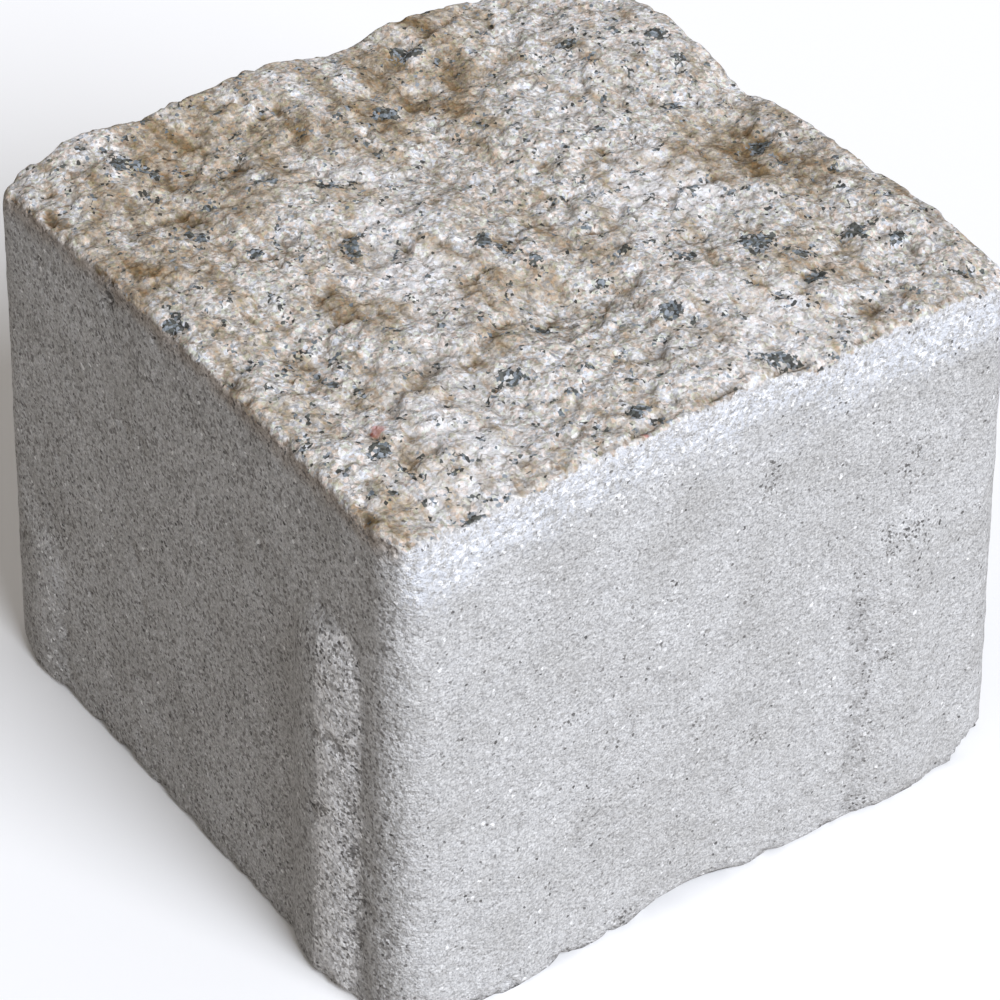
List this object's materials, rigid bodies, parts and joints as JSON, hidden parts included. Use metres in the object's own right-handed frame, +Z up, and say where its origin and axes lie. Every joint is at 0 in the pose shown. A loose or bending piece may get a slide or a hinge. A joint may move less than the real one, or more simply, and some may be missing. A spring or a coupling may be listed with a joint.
{
  "type": "concrete paver",
  "caption": "Square concrete block paver with a hewn, granite-look top face, plain walls with spacer ribs and a flat foot.",
  "frame": {"origin": "middle of the foot, on the level the paver lies on", "axes": "+Z up to the hewn face, X and Y square to the walls"},
  "size_m": [0.1002, 0.1018, 0.0785],
  "materials": {
    "concrete": "matt pressed concrete, hewn granite chips on top"
  },
  "bodies": {
    "root": {"paver": "concrete"}
  },
  "joints": []
}
